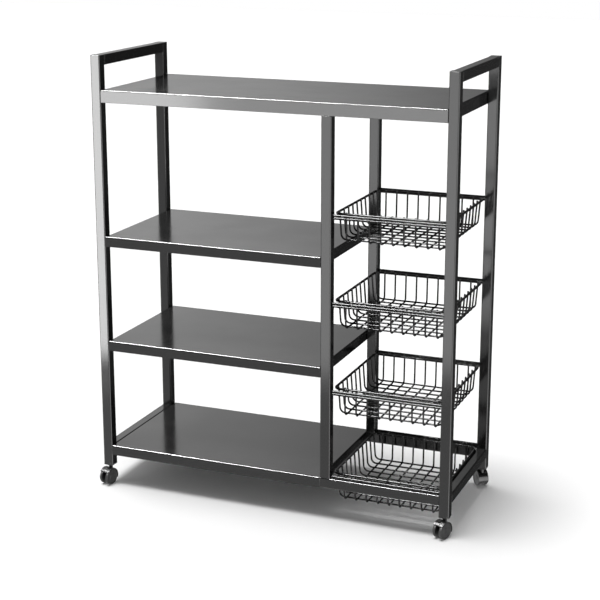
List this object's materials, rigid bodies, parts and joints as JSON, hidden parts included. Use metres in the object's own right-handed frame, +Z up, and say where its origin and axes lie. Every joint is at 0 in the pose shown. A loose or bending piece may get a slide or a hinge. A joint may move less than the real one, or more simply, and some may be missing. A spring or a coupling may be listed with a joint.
{
  "type": "rolling storage rack",
  "caption": "Black metal storage rack on swivel castors: tube posts with top handle bars, folded sheet shelves on one side and lift-out wire baskets on the other.",
  "frame": {"origin": "on the floor under the middle of the rack", "axes": "+X along the width towards the baskets, +Y from the front to the back, +Z up"},
  "size_m": [0.9108, 0.3899, 1.075],
  "materials": {
    "black_coat": "semi-gloss powder coat",
    "black_wire": "gloss powder coat",
    "zinc_steel": "black zinc plated",
    "black_plastic": "moulded",
    "hood_plastic": "moulded, semi-gloss",
    "wheel_plastic": "moulded nylon, fine grain"
  },
  "bodies": {
    "frame": {"left_front_post": "black_coat", "left_rear_post": "black_coat", "right_front_post": "black_coat", "right_rear_post": "black_coat", "centre_front_post": "black_coat", "centre_rear_post": "black_coat", "left_handle_bar": "black_coat", "base_left_rail": "black_coat", "right_handle_bar": "black_coat", "base_right_rail": "black_coat", "base_front_rail": "black_coat", "base_rear_rail": "black_coat", "top_shelf": "black_coat", "upper_shelf": "black_coat", "lower_shelf": "black_coat", "base_shelf": "black_coat", "rest_rod_1_front": "black_wire", "rest_rod_1_rear": "black_wire", "rest_rod_2_front": "black_wire", "rest_rod_2_rear": "black_wire", "rest_rod_3_front": "black_wire", "rest_rod_3_rear": "black_wire", "shelf_bolts": "zinc_steel", "castor_stems": "zinc_steel", "post_plugs": "black_plastic"},
    "basket_1": {"basket_1_rim": "black_wire", "basket_1_long_wires": "black_wire", "basket_1_cross_wires": "black_wire"},
    "basket_2": {"basket_2_rim": "black_wire", "basket_2_long_wires": "black_wire", "basket_2_cross_wires": "black_wire"},
    "basket_3": {"basket_3_rim": "black_wire", "basket_3_long_wires": "black_wire", "basket_3_cross_wires": "black_wire"},
    "basket_4": {"basket_4_rim": "black_wire", "basket_4_long_wires": "black_wire", "basket_4_cross_wires": "black_wire"},
    "left_front_castor": {"left_front_castor_hood": "hood_plastic", "left_front_axle": "zinc_steel"},
    "left_front_inner_wheel": {"left_front_inner_wheel": "wheel_plastic"},
    "left_front_outer_wheel": {"left_front_outer_wheel": "wheel_plastic"},
    "right_front_castor": {"right_front_castor_hood": "hood_plastic", "right_front_axle": "zinc_steel"},
    "right_front_inner_wheel": {"right_front_inner_wheel": "wheel_plastic"},
    "right_front_outer_wheel": {"right_front_outer_wheel": "wheel_plastic"},
    "left_rear_castor": {"left_rear_castor_hood": "hood_plastic", "left_rear_axle": "zinc_steel"},
    "left_rear_inner_wheel": {"left_rear_inner_wheel": "wheel_plastic"},
    "left_rear_outer_wheel": {"left_rear_outer_wheel": "wheel_plastic"},
    "right_rear_castor": {"right_rear_castor_hood": "hood_plastic", "right_rear_axle": "zinc_steel"},
    "right_rear_inner_wheel": {"right_rear_inner_wheel": "wheel_plastic"},
    "right_rear_outer_wheel": {"right_rear_outer_wheel": "wheel_plastic"}
  },
  "joints": [
    {"name": "basket_1_lift", "type": "slide", "parent": "frame", "child": "basket_1", "axis": [0, 0, 1], "range_m": [0, 0.08]},
    {"name": "basket_2_lift", "type": "slide", "parent": "frame", "child": "basket_2", "axis": [0, 0, 1], "range_m": [0, 0.08]},
    {"name": "basket_3_lift", "type": "slide", "parent": "frame", "child": "basket_3", "axis": [0, 0, 1], "range_m": [0, 0.08]},
    {"name": "basket_4_lift", "type": "slide", "parent": "frame", "child": "basket_4", "axis": [0, 0, 1], "range_m": [0, 0.08]},
    {"name": "left_front_swivel", "type": "hinge", "parent": "frame", "child": "left_front_castor", "pos_m": [-0.4375, -0.1625, 0.05], "axis": [0, 0, 1], "continuous": true},
    {"name": "left_front_inner_wheel_roll", "type": "hinge", "parent": "left_front_castor", "child": "left_front_inner_wheel", "pos_m": [-0.43943, -0.17231, 0.02], "axis": [0.9813, -0.1925, 0], "continuous": true},
    {"name": "left_front_outer_wheel_roll", "type": "hinge", "parent": "left_front_castor", "child": "left_front_outer_wheel", "pos_m": [-0.43943, -0.17231, 0.02], "axis": [0.9813, -0.1925, 0], "continuous": true},
    {"name": "right_front_swivel", "type": "hinge", "parent": "frame", "child": "right_front_castor", "pos_m": [0.4375, -0.1625, 0.05], "axis": [0, 0, 1], "continuous": true},
    {"name": "right_front_inner_wheel_roll", "type": "hinge", "parent": "right_front_castor", "child": "right_front_inner_wheel", "pos_m": [0.43382, -0.1718, 0.02], "axis": [0.9298, -0.3681, 0], "continuous": true},
    {"name": "right_front_outer_wheel_roll", "type": "hinge", "parent": "right_front_castor", "child": "right_front_outer_wheel", "pos_m": [0.43382, -0.1718, 0.02], "axis": [0.9298, -0.3681, 0], "continuous": true},
    {"name": "left_rear_swivel", "type": "hinge", "parent": "frame", "child": "left_rear_castor", "pos_m": [-0.4375, 0.1625, 0.05], "axis": [0, 0, 1], "continuous": true},
    {"name": "left_rear_inner_wheel_roll", "type": "hinge", "parent": "left_rear_castor", "child": "left_rear_inner_wheel", "pos_m": [-0.43281, 0.17133, 0.02], "axis": [-0.8829, 0.4695, 0], "continuous": true},
    {"name": "left_rear_outer_wheel_roll", "type": "hinge", "parent": "left_rear_castor", "child": "left_rear_outer_wheel", "pos_m": [-0.43281, 0.17133, 0.02], "axis": [-0.8829, 0.4695, 0], "continuous": true},
    {"name": "right_rear_swivel", "type": "hinge", "parent": "frame", "child": "right_rear_castor", "pos_m": [0.4375, 0.1625, 0.05], "axis": [0, 0, 1], "continuous": true},
    {"name": "right_rear_inner_wheel_roll", "type": "hinge", "parent": "right_rear_castor", "child": "right_rear_inner_wheel", "pos_m": [0.43134, 0.17038, 0.02], "axis": [-0.788, -0.6157, 0], "continuous": true},
    {"name": "right_rear_outer_wheel_roll", "type": "hinge", "parent": "right_rear_castor", "child": "right_rear_outer_wheel", "pos_m": [0.43134, 0.17038, 0.02], "axis": [-0.788, -0.6157, 0], "continuous": true}
  ]
}
